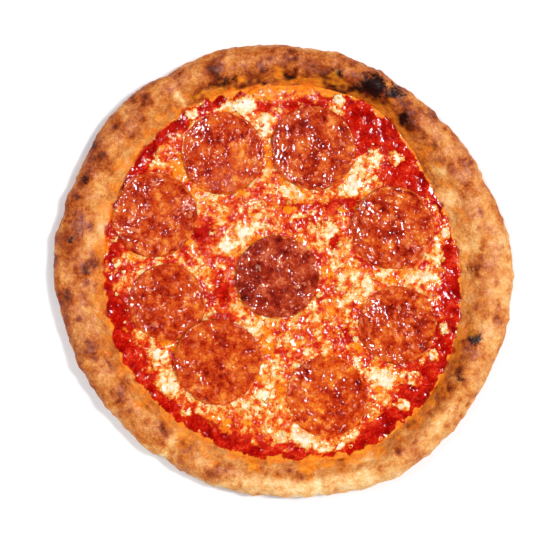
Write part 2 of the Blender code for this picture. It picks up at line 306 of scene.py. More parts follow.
def soft_noise(tree, place, size, detail):
    """Blender's noise with lumps of about that size in mm, from 0 to 1."""
    scale = maths(tree, "DIVIDE", 1 / MM, size)
    sockets = {"Vector": place, "Scale": scale, "Detail": detail, "Roughness": 0.55}
    return add(tree, "TexNoise", sockets).outputs["Fac"]


def make_mottle():
    inputs = [("Place", VECTOR), ("Size", FLOAT), ("Strength", FLOAT)]
    group, given, result = new_group("mottle", inputs, [("Value", FLOAT)])
    lumps = soft_noise(group, given["Place"], given["Size"], 2.0)
    centred = maths(group, "MULTIPLY_ADD", lumps, 4.0, -2.0)
    feed(group, result["Value"], maths(group, "MULTIPLY", centred, given["Strength"]))
    return group


def make_moist_relief():
    inputs = [("Place", VECTOR), ("Size", FLOAT), ("Depth", FLOAT)]
    group, given, result = new_group("moist_relief", inputs, [("Height", FLOAT)])
    broad = soft_noise(group, given["Place"], given["Size"], 0.0)
    finer_size = maths(group, "MULTIPLY", given["Size"], 0.4)
    fine = soft_noise(group, given["Place"], finer_size, 0.0)
    both = maths(group, "MULTIPLY_ADD", fine, 0.35, broad)
    feed(group, result["Height"], maths(group, "MULTIPLY", both, given["Depth"]))
    return group


def fill_group(tree, group, sockets):
    node = tree.nodes.new("ShaderNodeGroup")
    node.node_tree = group
    for name, value in sockets.items():
        feed(tree, node.inputs[name], value)
    return node.outputs


MOTTLE, MOIST_RELIEF = make_mottle(), make_moist_relief()


def make_oil_film():
    inputs = [("Place", VECTOR), ("Color", COLOUR), ("Roughness", FLOAT)]
    inputs += [("Oil", FLOAT), ("Tint", COLOUR)]
    outputs = [("Color", COLOUR), ("Roughness", FLOAT)]
    group, given, result = new_group("oil_film", inputs, outputs)
    lights = fill_group(group, MOTTLE, {"Place": given["Place"], "Size": 2.6, "Strength": 0.6})
    redder = {"Hue": 0.475, "Value": 0.88, "Color": given["Tint"]}
    deeper = add(group, "HueSaturation", redder).outputs["Color"]
    streak = maths(group, "ADD", lights["Value"], 0.5)
    tint = blend(group, span(group, streak, 0.0, 1.0), deeper, given["Tint"])
    depth = maths(group, "MULTIPLY", given["Oil"], 0.85)
    feed(group, result["Color"], blend(group, depth, given["Color"], tint))
    shine = maths(group, "MULTIPLY_ADD", given["Oil"], -0.5, 1.0)
    feed(group, result["Roughness"], maths(group, "MULTIPLY", given["Roughness"], shine))
    return group


OIL_FILM = make_oil_film()
print("shared groups:", MOTTLE.name, MOIST_RELIEF.name, OIL_FILM.name)

# %% [markdown]
# Five helpers use the groups. One starts a material, one adds patchy layers to a value, one
# spreads oil over a colour, and one feeds the bump of wet lumps to a shader. The last makes the
# shine patchy. Fat and water don't lie evenly on baked food, so some places glitter and the ones
# beside them stay dull.

# %% Start a finish, mottle it and oil it
def new_finish(name):
    """A material with its tree, its Principled shader and its Object coordinates."""
    material = bpy.data.materials.new(name)
    material.use_nodes = True
    tree = material.node_tree
    place = add(tree, "TexCoord").outputs["Object"]
    return material, tree, tree.nodes["Principled BSDF"], place


def mottled(tree, place, value, *layers):
    """Adds patchy layers, each a size in mm and a strength, to a value."""
    for size, strength in layers:
        patch = fill_group(tree, MOTTLE, {"Place": place, "Size": size, "Strength": strength})
        value = maths(tree, "ADD", value, patch["Value"])
    return value


def oiled(tree, place, colour, roughness, oil, tint):
    """A colour and a roughness under a film of oil, as two outputs."""
    film = fill_group(tree, OIL_FILM, {
        "Place": place, "Color": colour, "Roughness": roughness, "Oil": oil, "Tint": tint,
    })
    return film["Color"], film["Roughness"]


# %% Relief and shine
WET_PATCHES = [(12.0, 0.35), (4.0, 0.25)]


def roughen(tree, shader, place, *layers):
    """Feeds the shader a bumped normal from layers of wet relief: size and depth in mm."""
    height = 0.0
    for size, depth in layers:
        lumps = fill_group(tree, MOIST_RELIEF, {"Place": place, "Size": size, "Depth": depth})
        height = maths(tree, "ADD", lumps["Height"], height)
    bump = add(tree, "Bump", {"Strength": 1.0, "Distance": MM, "Height": height})
    feed(tree, shader.inputs["Normal"], bump.outputs["Normal"])


def shine_in_patches(tree, shader, place, dry, wet, extra=0.0):
    """Sets how much the shader mirrors: from dry to wet in patches, and more where extra is."""
    patch = span(tree, mottled(tree, place, 0.5, *WET_PATCHES), 0.30, 0.80)
    patch = maths(tree, "ADD", patch, extra)
    level = maths(tree, "MULTIPLY_ADD", patch, wet - dry, dry)
    feed(tree, shader.inputs["Specular IOR Level"], level)


print("sizes of the wet patches in mm:", [size for size, _ in WET_PATCHES])

# %% [markdown]
# ## The dough
#
# The dough is one piece: a thin bed that swells into a puffed rim. You could sculpt it, but a
# turned profile keeps the sizes exact. The profile is spun about Z, each point is moved out to
# the uneven outline, and the skin is then pushed along its normals: broad waves, big blisters
# where steam lifted the dough, creases where it was pinched, and a fine dry crumple.

# %% The rim's cross-section
PLAIN_OUTER, PLAIN_INNER, PLAIN_HEIGHT = 150, 120, 17
CREST_RADIUS, SHOULDER_HEIGHT, BASE_THICKNESS = 136, 7, 4.0
FOOT_ROLL = -70
WALL_CURVE = 1.6
SECTION_STEPS = 64
ROUND_STEPS, ROUND_CUTS = 95, 7
UNDERSIDE_RINGS, BED_RINGS = range(0, 144, 6), [108, 60, 0]


def rim_section(steps):
    """The rim's skin as (radius, height) pairs, from the foot over the crest to the bed."""
    points = []
    for step in range(steps + 1):
        roll = math.radians(FOOT_ROLL + step * (180 - FOOT_ROLL) / steps)
        reach, rise = abs(math.cos(roll)), math.sin(roll)
        if roll < 0:
            radius = CREST_RADIUS + (PLAIN_OUTER - CREST_RADIUS) * math.sqrt(reach)
            height = SHOULDER_HEIGHT * (1 - rise / math.sin(math.radians(FOOT_ROLL)))
        elif roll < math.pi / 2:
            radius = CREST_RADIUS + (PLAIN_OUTER - CREST_RADIUS) * reach
            height = SHOULDER_HEIGHT + (PLAIN_HEIGHT - SHOULDER_HEIGHT) * rise
        else:
            radius = CREST_RADIUS - (CREST_RADIUS - PLAIN_INNER) * reach
            height = PLAIN_HEIGHT - (PLAIN_HEIGHT - BASE_THICKNESS) * reach**WALL_CURVE
        points.append((radius, height))
    return points


underside = [(radius, 0) for radius in UNDERSIDE_RINGS]
bed = [(radius, BASE_THICKNESS) for radius in BED_RINGS]
profile = [*underside, *rim_section(SECTION_STEPS), *bed]
crust_mesh = turn_profile("baked_crust", profile, ROUND_STEPS, ROUND_CUTS)
print("points of the turned dough:", len(crust_mesh.vertices))

# %% Move the turned dough out to the uneven outline
points = read_points(crust_mesh)
angle, radius = polar(points)
inner, outer = inner_radius(angle), outer_radius(angle)
across = (radius - PLAIN_INNER) / (PLAIN_OUTER - PLAIN_INNER)
fitted = np.where(across > 0, inner + across * (outer - inner), radius * inner / PLAIN_INNER)
lift = np.clip((points[:, 2] - BASE_THICKNESS) / (PLAIN_HEIGHT - BASE_THICKNESS), 0, None)
height = np.minimum(points[:, 2], BASE_THICKNESS) + lift * (rim_height(angle) - BASE_THICKNESS)
points = np.stack([fitted * np.cos(angle), fitted * np.sin(angle), height], axis=1)
write_points(crust_mesh, points)
print("widest in mm:", round(2 * fitted.max(), 1))

# %% [markdown]
# Blisters and creases have places: degrees round the rim, anticlockwise from the right, and for
# a blister its distance from the middle, its width and its height in mm. The small bubbles have
# no places of their own, so a seeded random draw sets them.

# %% Blisters, creases and bubbles
BLISTERS = [
    (52, 131, 9, 1.6), (64, 137, 13, 2.6), (73, 134, 8, 1.8), (87, 130, 10, 1.3),
    (108, 135, 14, 2.0), (155, 141, 9, 1.5), (171, 139, 8, 1.2), (202, 135, 9, 1.4),
    (224, 133, 11, 1.6), (262, 137, 14, 1.5), (300, 139, 16, 1.8), (328, 137, 10, 1.6),
    (341, 133, 9, 1.8), (2, 129, 10, 1.2),
]
CREASES = [(24, 1.6), (120, 2.0), (159, 1.3), (237, 2.4), (279, 0.8), (294, 1.2)]
CREASE_TURN = math.radians(2.2)
BROAD_WAVES = (1.5, 17, 0)
BUBBLE_COUNT = 150
draw = np.random.default_rng(7)


def turn_from(angle, degrees):
    """The angle from a direction, wrapped so that it lies between minus and plus half a turn."""
    return (angle - math.radians(degrees) + math.pi) % math.tau - math.pi


def arc_from(angle, radius, degrees, distance):
    """How far points are from a place on the rim: along it and across it, in mm."""
    return turn_from(angle, degrees) * radius, radius - distance


def swelling(points):
    """How far the dough swelled: broad waves and blisters, less the creases."""
    angle, radius = polar(points)
    height = waves(points, BROAD_WAVES)
    for degrees, distance, width, tall in BLISTERS:
        along, aside = arc_from(angle, radius, degrees, distance)
        height += tall * np.exp(-(along**2 + aside**2) / (0.6 * width) ** 2)
    for degrees, depth in CREASES:
        height -= depth * np.exp(-((turn_from(angle, degrees) / CREASE_TURN) ** 2))
    return height


def bubbles(points):
    """Small bubbles scattered over the rim's top."""
    angle, radius = polar(points)
    height = np.zeros(len(points))
    for _ in range(BUBBLE_COUNT):
        degrees, distance = draw.uniform(0, 360), draw.uniform(122, 148)
        width, tall = draw.uniform(1.6, 4.5), draw.uniform(0.25, 0.8)
        along, aside = arc_from(angle, radius, degrees, distance)
        away = np.sqrt((along / draw.uniform(1, 1.7)) ** 2 + aside**2) / width
        height = np.maximum(height, tall * np.clip(1 - away**2, 0, 1))
    return height


print("blisters:", len(BLISTERS), "creases:", len(CREASES), "bubbles:", BUBBLE_COUNT)

# %% [markdown]
# Every point moves along its normal. The broad swelling begins a little way up the wall, and the
# crumple, in ever finer layers, begins right at the sauce. The foot isn't pushed at all, so the
# pizza still rests flat.

# %% Push the skin out
CRUMPLE = [(0.9, 7, 3.1), (0.55, 3.2, 5.7), (0.3, 1.8, 9.2)]
past_bed = polar(points)[1] - inner
above_foot = ease(0.5, 5, points[:, 2])
puff = swelling(points) * ease(2, 9, past_bed)
crumple = (bubbles(points) + waves(points, *CRUMPLE)) * ease(-0.5, 4, past_bed)
push = (puff + crumple) * above_foot
write_points(crust_mesh, points + read_normals(crust_mesh) * push[:, None])
print("deepest push in mm:", round(float(np.abs(push).max()), 2))

# %% [markdown]
# ## How the dough browned
#
# An oven browns a rim in patches: pale where the dough was thick or floury, gold and brown where
# it puffed up, and black on the thinnest blisters. Two rings of readings say how brown the inner
# and the outer half of the rim are, from 0 for cream to 100 for dark brown, and a third how oily
# the inner wall is. Lists of spots say where the rim charred and where it stayed pale: degrees,
# distance from the middle, two half widths in mm and a strength. The many freckles are drawn at
# random.

# %% Where the rim is brown, oily, black or pale
BAKE_OUTER = [36, 54, 53, 55, 55, 55, 56, 53, 38, 22, 26, 42]
BAKE_INNER = [38, 52, 76, 72, 48, 52, 56, 50, 52, 46, 44, 56]
OIL_INNER = [35, 50, 65, 90, 95, 70, 50, 70, 80, 95, 95, 70]
CHAR_SPOTS = [
    (64, 133, 11, 7, 1.2), (68, 127, 5, 4, 1.2), (75, 131, 4, 6, 1.25), (58, 137, 7, 6, 1.0),
    (52, 126, 5, 5, 1.1), (88, 126, 9, 2, 1.0), (98, 124, 10, 3, 0.7), (108, 129, 14, 5, 0.8),
    (40, 127, 5, 4, 0.55), (155, 142, 5, 4, 0.85), (171, 139, 5, 4, 0.7), (146, 149, 8, 4, 0.6),
    (180, 128, 4, 4, 0.55), (186, 146, 3, 3, 0.6), (203, 134, 3, 3, 0.6), (232, 130, 5, 4, 0.6),
    (249, 139, 5, 4, 0.45), (278, 129, 3, 3, 0.6), (283, 124, 3, 2, 0.7), (305, 147, 6, 4, 0.4),
    (329, 132, 5, 7, 0.7), (341, 131, 5, 5, 1.15), (1, 121, 4, 6, 0.65), (320, 128, 6, 4, 0.45),
    (130, 142, 8, 4, 0.45), (163, 147, 9, 4, 0.5), (194, 147, 6, 4, 0.4), (47, 139, 6, 4, 0.5),
]
PALE_SPOTS = [
    (24, 116, 7, 9, 0.9), (166, 122, 14, 6, 1.4), (237, 134, 3, 14, 1.0), (296, 134, 7, 8, 0.5),
    (121, 128, 2, 12, 0.8), (279, 138, 2, 12, 0.6), (32, 121, 5, 4, 0.6), (143, 121, 9, 4, 0.6),
]
FRECKLE_COUNT = 300


def draw_freckle():
    degrees, distance = draw.uniform(0, 360), draw.uniform(122, 149)
    half_along, half_across = draw.uniform(0.8, 3.6), draw.uniform(0.8, 2.4)
    return degrees, distance, half_along, half_across, draw.uniform(0.3, 1.0)


freckles = [draw_freckle() for _ in range(FRECKLE_COUNT)]
print("charred:", len(CHAR_SPOTS), "pale:", len(PALE_SPOTS), "freckles:", len(freckles))

# %% [markdown]
# A spot fades away from its middle, and where several meet the strongest one counts. The tide
# line is where red sauce gives way to golden dough. It wanders in and out, as the sauce bubbled
# up the wall in the oven. The crust, the sauce and the cheese all take their colours from the
# same line, so no seam shows where they meet.

# %% Spots on the rim, and the tide line
TIDE = [1.5, 0.5, 0.5, -4.0, 0.5, 1.0, 0.8, 0.5, -0.6, -1.2, -1.0, 0.8]
TIDE_WAVES = [(4.2, 8, 1.9), (1.8, 3, 3.7)]


def spots_on_rim(angle, radius, spots):
    """How much each point belongs to the strongest of several soft spots."""
    total = np.zeros(len(angle))
    for degrees, distance, half_along, half_across, strength in spots:
        along, aside = arc_from(angle, radius, degrees, distance)
        away = (along / half_along) ** 2 + (aside / half_across) ** 2
        total = np.maximum(total, strength * np.exp(-0.7 * away))
    return total


def tide(points):
    """How far, in mm, each point is past the ragged line where sauce gives way to dough."""
    angle, radius = polar(points)
    ragged = waves(points * (1, 1, 0), *TIDE_WAVES)
    return radius - inner_radius(angle) - by_clock(TIDE, angle) + ragged


print("tide line in mm from the rim's inner edge:", min(TIDE), "to", max(TIDE))

# %% [markdown]
# Now the readings come together. Noise breaks them up, the puffed places brown more than the
# hollows, every charred spot has a brown halo, and the foot of the wall stays paler.

# %% How brown and how charred each point is
BAKE_WAVES = [(0.27, 14, 2.2), (0.14, 5, 4.4)]
HALO, PALENESS, FRECKLE = 0.21, 0.35, 0.36
angle, radius = polar(points)
across = np.clip((radius - inner) / (outer - inner), -1, 1)
inside_bake, outside_bake = by_clock(BAKE_INNER, angle), by_clock(BAKE_OUTER, angle)
bake = (inside_bake + (outside_bake - inside_bake) * ease(0.25, 0.65, across)) / 100
bake += waves(points, *BAKE_WAVES) + 0.12 * ease(0.5, 2.5, push)
char = spots_on_rim(angle, radius, CHAR_SPOTS)
bake += HALO * np.sqrt(char) - PALENESS * spots_on_rim(angle, radius, PALE_SPOTS)
bake += FRECKLE * spots_on_rim(angle, radius, freckles)
side = ease(9, 2, points[:, 2])
bake = bake * (1 - 0.35 * side) + 0.12 * side
print("mean bake:", round(float(bake.mean()), 2))

# %% [markdown]
# Fat runs down the inner wall, and sauce stains its foot. Nobody sees the underside in the
# photo, so it gets what a hot stone gives: brown in broad patches, with a few scorched spots.
# All four numbers are then stored on the points, where the finish can read them.

# %% Oil, stain and the underside
OIL_WAVES = [(0.45, 9, 7.7), (0.30, 3.5, 2.9)]
STONE_BAKE, STONE_WAVES = 0.42, [(0.5, 22, 8.8), (0.3, 11, 1.8)]
below = ease(1.5, 0.1, points[:, 2])
oil = by_clock(OIL_INNER, angle) / 100 * ease(0.34, 0.0, across + waves(points, *OIL_WAVES))
oil *= 1 - below
stain = ease(0.8, -0.8, tide(points)) * (1 - below)
bake += below * (STONE_BAKE + waves(points, *STONE_WAVES) - bake)
char += below * (0.9 * ease(0.25, 0.55, ripple(points, 15, 6.1)) - char)
for name, values in (("bake", bake), ("char", char), ("oil", oil), ("stain", stain)):
    store(crust_mesh, name, values)
    print(name, "goes up to", round(float(values.max()), 2))

# %% [markdown]
# The finish reads the painted numbers. The bake picks a colour from cream to dark brown, specks
# and char darken it, and the oil and the sauce's stain go on top. Each number is mottled first,
# so that no patch of colour ends in a clean line.

# %% The finish of the dough
BAKED_COLOURS = [
    (0.00, (248, 216, 162)), (0.22, (236, 178, 108)), (0.42, (218, 142, 72)),
    (0.60, (194, 104, 42)), (0.78, (152, 62, 20)), (1.00, (92, 32, 12)),
]
BROWN_SPECK, CHARCOAL = seen(104, 48, 22), seen(34, 12, 10)
GOLDEN_OIL, SAUCE_STAIN = seen(255, 160, 36), seen(178, 34, 10)
dough, tree, shader, place = new_finish("baked_dough")
browning = mottled(tree, place, painted(tree, "bake"), (5.5, 0.11), (2.2, 0.12), (1.0, 0.11))
baked = colour_scale(tree, browning, BAKED_COLOURS)
specks = span(tree, mottled(tree, place, 0.0, (1.2, 0.5), (9.0, 0.3)), 0.42, 0.60)
baked = blend(tree, maths(tree, "MULTIPLY", specks, 0.6), baked, BROWN_SPECK)
burnt = mottled(tree, place, painted(tree, "char"), (3.6, 0.32), (1.4, 0.20))
baked = blend(tree, span(tree, burnt, 0.45, 0.95), baked, CHARCOAL)
colour, roughness = oiled(tree, place, baked, 0.46, painted(tree, "oil"), GOLDEN_OIL)
stained = maths(tree, "MULTIPLY", painted(tree, "stain"), 0.9)
feed(tree, shader.inputs["Base Color"], blend(tree, stained, colour, SAUCE_STAIN))
feed(tree, shader.inputs["Roughness"], roughness)
shine_in_patches(tree, shader, place, 0.04, 0.30)
roughen(tree, shader, place, (1.8, 0.50), (0.8, 0.22))
place_piece(crust_mesh, dough, "baked_dough", "crust")

# %% [markdown]
# ## Layers that lie in the dish
#
# Sauce and cheese are both sheets with an uneven top and a flat underside. A square grid gives
# small, even faces everywhere, which a spun disc doesn't. The grid is cut to the outline, and
# points where two parts of it would only touch at a corner are cut too. Its border is then
# extruded down to make the edge of the sheet, and the flat underside, which nobody sees, is
# filled with as few triangles as it takes.

# %% Cut a grid to an outline
GRID_REACH = 128


def loose_points(bm):
    return np.array([vert.co[:] for vert in bm.verts]) / MM


def pinched(vert):
    """Whether a point is loose, or joins two faces that share no edge."""
    return not vert.link_faces or sum(edge.is_boundary for edge in vert.link_edges) > 2


def cut_grid(pitch, keeps):
    """A square grid, with faces that wide in mm, only where keeps(points) is true."""
    count = round(2 * GRID_REACH / pitch)
    bm = bmesh.new()
    bmesh.ops.create_grid(bm, x_segments=count, y_segments=count, size=GRID_REACH * MM)
    lost = [vert for vert, keep in zip(bm.verts, keeps(loose_points(bm))) if not keep]
    while lost:
        bmesh.ops.delete(bm, geom=lost, context="VERTS")
        lost = [vert for vert in bm.verts if pinched(vert)]
    return bm


print("the grid reaches, in mm:", GRID_REACH)

# %% Close the sheet underneath
def close_underneath(bm, floor):
    """Extrudes the border of a sheet down to a flat underside."""
    border = [edge for edge in bm.edges if edge.is_boundary]
    skirt = bmesh.ops.extrude_edge_only(bm, edges=border)["geom"]
    for item in skirt:
        if isinstance(item, bmesh.types.BMVert):
            item.co.z = floor * MM
    foot = [item for item in skirt if isinstance(item, bmesh.types.BMEdge)]
    bmesh.ops.triangle_fill(bm, edges=foot, use_beauty=False, use_dissolve=False)
    bmesh.ops.recalc_face_normals(bm, faces=bm.faces)


def make_layer(name, pitch, floor, keeps, top):
    """A closed sheet where keeps(points) is true, with its top at top(points), in mm."""
    bm = cut_grid(pitch, keeps)
    for vert, height in zip(bm.verts, top(loose_points(bm))):
        vert.co.z = height * MM
    close_underneath(bm, floor)
    return finish_mesh(bm, name)


# %% [markdown]
# ## The tomato sauce
#
# The sauce is crushed tomato: wet, bright red where it is deep, and grainy with pulp. It fills
# the dish to the rim, where fat turns its shore golden. The pulp is real relief in the mesh,
# because relief catches the light, and the finish only adds what is finer than the grid.

# %% The shape of the sauce
SAUCE_PITCH, SAUCE_FLOOR, SAUCE_LEVEL = 1.1, 4.3, 5.5
PULP_LIFT, PULP_WAVES = 0.15, [(0.5, 9, 1.2), (0.5, 4.2, 2.6), (0.15, 2.4, 4.1)]


def sauce_reach(points):
    """Whether each point is in the dish or a little way up its wall."""
    angle, radius = polar(points)
    return radius < inner_radius(angle) + 2.5


def sauce_top(points):
    return SAUCE_LEVEL + PULP_LIFT + waves(points, *PULP_WAVES)


sauce_mesh = make_layer("crushed_tomato_sauce", SAUCE_PITCH, SAUCE_FLOOR, sauce_reach, sauce_top)
points = read_points(sauce_mesh)
# Painted shade: the sauce's colour is darkened within about 9 mm of the rim wall, where the wall
# shades it.
painted_wall_shade = 0.14 * ease(-9, -1, tide(points))
# The stored pulp number holds the pulp's height and also this painted shade along the rim wall.
store(sauce_mesh, "pulp", (points[:, 2] - SAUCE_LEVEL) * 0.8 + 0.34 - painted_wall_shade)
store(sauce_mesh, "shore", ease(-0.8, 0.8, tide(points)))
print("highest pulp in mm:", round(float(points[:, 2].max()), 1))

# %% The finish of the sauce
SAUCE_COLOURS = [
    (0.00, (124, 3, 2)), (0.35, (168, 12, 5)), (0.65, (198, 32, 12)), (1.00, (218, 80, 40)),
]
SHORE_OIL = seen(246, 160, 46)
tomato, tree, shader, place = new_finish("tomato_sauce")
# The pulp number carries the pulp's height and the painted shade near the rim wall.
redness_and_shade = mottled(tree, place, painted(tree, "pulp"), (8.0, 0.20), (1.6, 0.26), (0.8, 0.14))
colour = colour_scale(tree, redness_and_shade, SAUCE_COLOURS)
shore = mottled(tree, place, painted(tree, "shore"), (3.4, 0.36), (1.4, 0.2))
colour, roughness = oiled(tree, place, colour, 0.12, span(tree, shore, 0.2, 0.9), SHORE_OIL)
feed(tree, shader.inputs["Base Color"], colour)
feed(tree, shader.inputs["Roughness"], roughness)
shine_in_patches(tree, shader, place, 0.04, 0.38)
roughen(tree, shader, place, (2.4, 0.38))
place_piece(sauce_mesh, tomato, "tomato_sauce", "tomato_sauce")

# %% [markdown]
# ## Where the slices lie
#
# Nine slices of pepperoni press into the cheese, so their places come before it. Each has its
# middle in x and y, its radius in mm, how far it leans along x and y in thousandths, and how
# high it is lifted in mm. A slice was cut by hand from an uneven sausage, so its edge wanders a
# little too.

# %% Places and edges of the slices
SLICES = [
    (-39.7, 77.0, 27.1, 10, -12, 0.0), (19.3, 80.4, 27.3, -14, 6, 0.1),
    (-84.6, 36.9, 27.6, -16, 4, 0.1), (70.9, 28.4, 27.4, 12, 10, 0.0),
    (-4.2, -3.6, 27.4, -6, 14, 0.3), (-76.1, -19.9, 25.2, -10, -8, -0.1),
    (74.2, -35.0, 25.4, 16, -8, 0.0), (-43.1, -59.0, 28.2, -34, 38, 0.9),
    (28.4, -81.4, 26.6, 8, -18, 0.0),
]
SLICE_LEVEL = 7.6


def slice_seed(index):
    return 60.5 + 3 * index


def slice_floor(points, index):
    """The height of a slice's underside over each point."""
    x, y, _, lean_x, lean_y, lift = SLICES[index]
    return SLICE_LEVEL + lift + (lean_x * (points[:, 0] - x) + lean_y * (points[:, 1] - y)) / 1000


def slice_edge(index, angle):
    """How far a slice's uneven edge is from its middle, in mm, at an angle about that middle."""
    seed = slice_seed(index)
    uneven = 1 + 0.035 * ring_noise(around, 9, seed) + 0.018 * ring_noise(around, 25, seed)
    return SLICES[index][2] * np.interp(angle, around, uneven, period=math.tau)


def past_edge(points, index):
    """How far each point is outside a slice, in mm: negative on the slice."""
    x, y, *_ = SLICES[index]
    angle, radius = polar(points - (x, y, 0))
    return radius - slice_edge(index, angle)


def beside_slices(points):
    """1 at the edge of a slice, falling to 0 a few mm away from it."""
    away = [np.abs(past_edge(points, index)) for index in range(len(SLICES))]
    return ease(4.5, 0.5, np.min(away, axis=0))


print("slices, across in mm:", [2 * wide for _, _, wide, *_ in SLICES])

# %% [markdown]
# ## Where the cheese went
#
# Grated cheese doesn't melt evenly. It is white in soft heaps, gold where its fat ran out, and
# torn open where the sauce boiled through. Each of these has a list of places: x and y, two half
# widths, a turn in degrees and a strength. Soft round patches at those places, bent a little by
# noise, say how creamy, how golden and how red each point of the sheet is.

# %% White, golden and red places
CREAM = [
    (35.6, 110, 3.5, 5, 0, 0.9), (-46, 109, 5, 4, 20, 0.8), (-27, 110, 11, 6, -10, 0.9),
    (-12, 97, 4, 8, 20, 0.9), (60, 78, 7, 4, 15, 0.8), (76, 79, 5, 4, 0, 0.5),
    (51, 65, 10, 5, 35, 1.0), (45, 56, 7, 4, 20, 0.8), (-30, 22, 9, 6, 45, 1.0),
    (30, 26, 4, 7, 10, 0.8), (102, 14, 5, 8, 0, 0.6), (86, -2, 14, 3, -10, 0.8),
    (67, -70, 7, 5, 0, 0.9), (66, -97, 5, 4, 0, 0.7), (46, -107, 6, 4, 20, 0.8),
    (8, -110, 12, 5, 0, 0.9), (-73, -73, 6, 7, 40, 0.7), (-13, -66, 7, 5, 0, 0.8),
    (-17, -84, 8, 6, 0, 0.9), (-17, -37, 7, 6, 30, 0.7), (-62, 21, 4, 5, 0, 0.6),
    (-43, 53, 6, 4, 30, 0.7), (7, 49, 8, 5, 10, 0.6), (30, -50, 10, 7, 0, 0.4),
    (-30, -88, 9, 6, 20, 0.6), (-60, -42, 5, 5, 0, 0.4), (54, -8, 9, 9, 0, 0.5),
]
GOLD = [
    (-68, 66, 6, 10, 20, 1.0), (-59, 49, 8, 5, -20, 0.8), (-10, 76, 4, 14, 0, 0.8),
    (7, 49, 9, 6, 10, 0.8), (32, -23, 6, 7, 0, 0.6), (-13, -45, 6, 10, 0, 0.8),
    (-1, -79, 5, 14, 0, 0.7), (13, -104, 9, 4, -20, 0.7), (-44, -95, 9, 5, 0, 0.6),
    (48, 60, 9, 5, 30, 0.5), (86, -2, 14, 4, -10, 0.7), (72, -67, 6, 5, 0, 0.6),
    (-18, 117, 17, 4, -6, 1.0),
]
RED = [
    (56, 94, 16, 13, -30, 1.0), (80, 66, 13, 12, -20, 1.0), (-98, 76, 18, 6, 60, 0.9),
    (-80, 93, 14, 6, 40, 0.9), (-52, 106, 10, 5, 20, 0.5), (14, 108, 15, 4, 0, 0.8),
    (-13, 108, 5, 5, 0, 0.8), (110, -8, 6, 28, 0, 1.0), (105, -45, 6, 14, 20, 0.9),
    (89, -74, 9, 12, 40, 0.6), (66, -100, 12, 6, 35, 0.5), (-8, -117, 20, 5, 0, 0.7),
    (-40, -108, 12, 6, -20, 0.6), (-70, -93, 12, 8, -40, 0.6), (-99, -57, 7, 14, 30, 0.9),
    (-108, -30, 5, 18, 10, 0.9), (-111, 8, 5, 14, 0, 0.8), (-40, -12, 5, 10, 0, 0.7),
    (-52, 24, 8, 6, 0, 0.7), (9, 43, 12, 4, 0, 0.6), (32, 42, 8, 5, 0, 0.7),
    (45, 43, 7, 5, 0, 0.7), (34, 20, 5, 8, 0, 0.6), (39, -43, 7, 8, 0, 0.6),
    (-38, 8, 8, 8, 0, 0.3), (12, 30, 20, 6, 0, 0.4),
]


def patches(points, places):
    """The strongest of several soft patches at each point."""
    aside, ahead = ripple(points, 8, 11.3), ripple(points, 8, 17.9)
    bent = points[:, :2] + 2.6 * np.stack([aside, ahead], axis=1)
    total = np.zeros(len(points))
    for x, y, half_x, half_y, turn, strength in places:
        cos, sin = math.cos(math.radians(turn)), math.sin(math.radians(turn))
        dx, dy = bent[:, 0] - x, bent[:, 1] - y
        away = ((dx * cos + dy * sin) / half_x) ** 2 + ((dy * cos - dx * sin) / half_y) ** 2
        total = np.maximum(total, strength * np.exp(-0.6 * away))
    return total


print("white places:", len(CREAM), "golden:", len(GOLD), "red:", len(RED))

# %% [markdown]
# ## The melted cheese
#
# The sheet ends in an uneven line short of the rim. Its top is a field of curds: rounded cells,
# each with its own chance of being white and high or orange and low. A Voronoi pattern gives such
# cells, and the same cells drive both the height and the colour, so that the white lumps really
# stand out of the orange fat between them.

# %% Curds and torn edges
CURD_SIZE = 4.6


def curds(points, size, seed):
    """How near each point is to the middle of its rounded cell, and the cell's luck: 0 to 1."""
    aside, ahead = ripple(points, size, seed), ripple(points, size, seed + 9)
    bent = points + 0.5 * size * np.stack([aside, ahead, 0 * aside], axis=1)
    near, luck = [], []
    for place in (bent / size + seed).tolist():
        distances, middles = noise.voronoi(place)
        near.append(distances[0])
        luck.append(noise.cell(middles[0] * 13.7))
    return 1 - np.clip(near, 0, 1), 0.5 + 0.5 * np.array(luck)


def torn(points, length, seed):
    """Ragged noise, about -1 to 1: broad waves with ever finer ones on top."""
    layers = [(1.0, 1.0), (0.62, 0.47), (0.40, 0.23)]
    return sum(share * ripple(points, length * scale, seed + scale) for share, scale in layers)


print("width of a curd in mm:", CURD_SIZE)

# %% Where the sheet ends and how creamy it is
CHEESE_REACH = [
    106, 112, 98, 99, 98, 111, 117, 114, 112, 110, 108, 113,
    112, 102, 109, 110, 105, 110, 113, 119, 110, 105, 106, 105,
]


def cover(points):
    """How far, in mm, a point is inside the cheese: negative where the sauce is open."""
    angle, radius = polar(points)
    reach = by_clock(CHEESE_REACH, angle) + 2.5 * ring_noise(angle, 40, 11.5)
    reach = np.minimum(reach + 6.5, inner_radius(angle) + 2.5)
    open_sauce = patches(points, RED)
    return np.minimum(reach - radius, 9 - 14 * open_sauce) + 4.2 * torn(points, 7, 6.6)


def curd_plan(points):
    """How creamy the sheet is at each point, from 0 for red to 1 for white."""
    lean = 1.05 * patches(points, CREAM) - 0.75 * patches(points, RED)
    dome, luck = curds(points, CURD_SIZE, 0.5)
    lumps = ease(0.35, 0.65, dome) * ease(0.4, 0.8, luck + 0.7 * lean)
    ragged = torn(points, 6.5, 5.2)
    plan = 0.32 + 0.42 * lean + 0.26 * lumps + 0.46 * ragged - 0.10 * beside_slices(points)
    return np.clip(plan, 0, 1)


middle = np.zeros((1, 3))
print("creaminess at the middle of the pizza:", round(float(curd_plan(middle)[0]), 2))

# %% [markdown]
# Creamy cheese stands higher than red. Near a tear the sheet thins out, and under each slice it
# is pressed flat. Along a slice's edge a little cheese washes up over the meat, which ties the
# two together.

# %% The shape of the cheese
CHEESE_PITCH, CHEESE_FLOOR = 0.85, 5.1
RED_LEVEL, WHITE_RISE = 6.7, 1.6
WASH_OVER, WASH_WAVES = 1.5, [(1.0, 6, 8.1), (0.5, 2.5, 2.2)]


